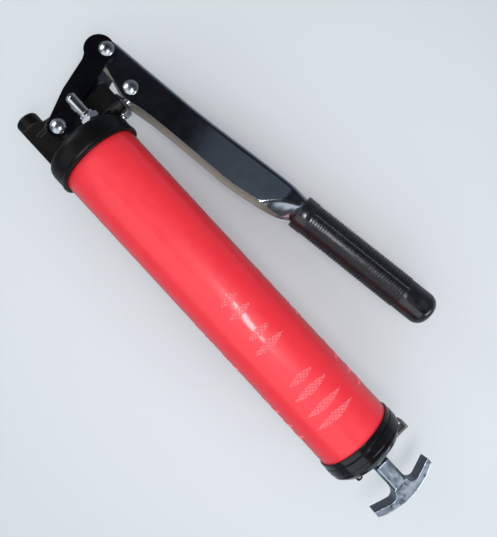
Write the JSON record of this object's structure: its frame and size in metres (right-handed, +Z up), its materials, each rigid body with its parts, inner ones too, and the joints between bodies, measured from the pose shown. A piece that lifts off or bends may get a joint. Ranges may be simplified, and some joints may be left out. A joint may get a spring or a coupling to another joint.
{
  "type": "grease gun",
  "caption": "Hand lever grease gun: red barrel, black pump head with a linked lever, ribbed rubber grip, sprung follower with a T-handle rod, threaded outlet and filler fitting.",
  "frame": {"origin": "centre of the object's box, on the surface it lies on", "axes": "+X along the barrel from the pump head to the T-handle, +Y from the barrel to the lever, +Z up out of the surface that the gun lies on"},
  "size_m": [0.374, 0.1362, 0.0631],
  "materials": {
    "black_casting": "satin black paint over a cast head",
    "red_paint": "glossy red enamel",
    "black_gloss_paint": "glossy black enamel",
    "seal_rubber": "moulded nitrile",
    "grip_rubber": "moulded, matt, ribbed",
    "zinc_plate": "zinc plated",
    "bright_zinc": "bright zinc plated",
    "bright_rod": "ground and polished",
    "spring_wire": "drawn wire",
    "latch_steel": "pressed, passivated",
    "black_oxide": "black oxide",
    "dark_chrome": "bright chrome",
    "lever_chrome": "bright chrome",
    "rivet_chrome": "bright, domed",
    "cast_handle": "satin die casting"
  },
  "bodies": {
    "root": {"head_casting": "black_casting", "barrel_gasket": "seal_rubber", "barrel_tube": "red_paint", "end_cap": "black_gloss_paint", "rod_bush": "zinc_plate", "spring_seat": "zinc_plate", "follower_spring": "spring_wire", "latch_pin": "zinc_plate", "latch_spring": "spring_wire", "link_rivet": "rivet_chrome", "gland_nut": "black_oxide", "plunger_seal": "seal_rubber", "check_spring": "spring_wire", "check_retainer": "zinc_plate", "filler_fitting": "bright_zinc", "filler_spring": "spring_wire", "bleed_valve": "bright_zinc", "bleed_spring": "spring_wire"},
    "link": {"link": "dark_chrome", "lever_rivet": "rivet_chrome"},
    "lever": {"lever": "lever_chrome", "plunger_rivet": "rivet_chrome", "lever_grip": "grip_rubber"},
    "plunger": {"plunger": "bright_rod"},
    "follower": {"follower_washer": "zinc_plate", "follower_seal": "seal_rubber", "follower_plate": "zinc_plate"},
    "rod": {"follower_rod": "bright_rod", "rod_nut": "zinc_plate", "t_handle": "cast_handle", "handle_pin": "zinc_plate"},
    "latch": {"latch_plate": "latch_steel"},
    "check_ball": {"check_ball": "bright_rod"},
    "filler_ball": {"filler_ball": "bright_rod"},
    "bleed_stem": {"bleed_stem": "bright_rod"}
  },
  "joints": [
    {"name": "link_swing", "type": "hinge", "parent": "root", "child": "link", "pos_m": [-0.15475, -0.04249, 0.03274], "axis": [0, 0.2062, 0.9785], "range_deg": [-2.6, 0.25]},
    {"name": "lever_pivot", "type": "hinge", "parent": "link", "child": "lever", "pos_m": [-0.17375, 0.01524, 0.02057], "axis": [0, 0.2062, 0.9785], "range_deg": [-4, 45]},
    {"name": "plunger_slide", "type": "slide", "parent": "root", "child": "plunger", "axis": [0, 0.9785, -0.2062], "range_m": [-0.0021, 0.0226]},
    {"name": "follower_slide", "type": "slide", "parent": "root", "child": "follower", "axis": [1, 0, 0], "range_m": [0, 0.2], "deforming": ["follower_spring"]},
    {"name": "handle_turn", "type": "hinge", "parent": "follower", "child": "rod", "pos_m": [0.17705, -0.03662, 0.0315], "axis": [1, 0, 0], "continuous": true},
    {"name": "latch_tilt", "type": "hinge", "parent": "root", "child": "latch", "pos_m": [0.15125, -0.05325, 0.03501], "axis": [0, 0.2062, 0.9785], "range_deg": [-3, 1.8], "stiffness_Nm_per_rad": 0.05, "deforming": ["latch_spring"]},
    {"name": "check_lift", "type": "slide", "parent": "root", "child": "check_ball", "axis": [-1, 0, 0], "range_m": [0, 0.0012], "stiffness_N_per_m": 15, "deforming": ["check_spring"]},
    {"name": "filler_lift", "type": "slide", "parent": "root", "child": "filler_ball", "axis": [1, 0, 0], "range_m": [0, 0.0012], "stiffness_N_per_m": 15, "deforming": ["filler_spring"]},
    {"name": "bleed_push", "type": "slide", "parent": "root", "child": "bleed_stem", "axis": [0, -0.9785, 0.2062], "range_m": [0, 0.001], "stiffness_N_per_m": 15, "deforming": ["bleed_spring"]}
  ],
  "couplings": [
    {"joint": "link_swing", "follows": "lever_pivot", "ratio": -0.0567},
    {"joint": "plunger_slide", "follows": "lever_pivot", "m_per_rad": 0.028527}
  ]
}
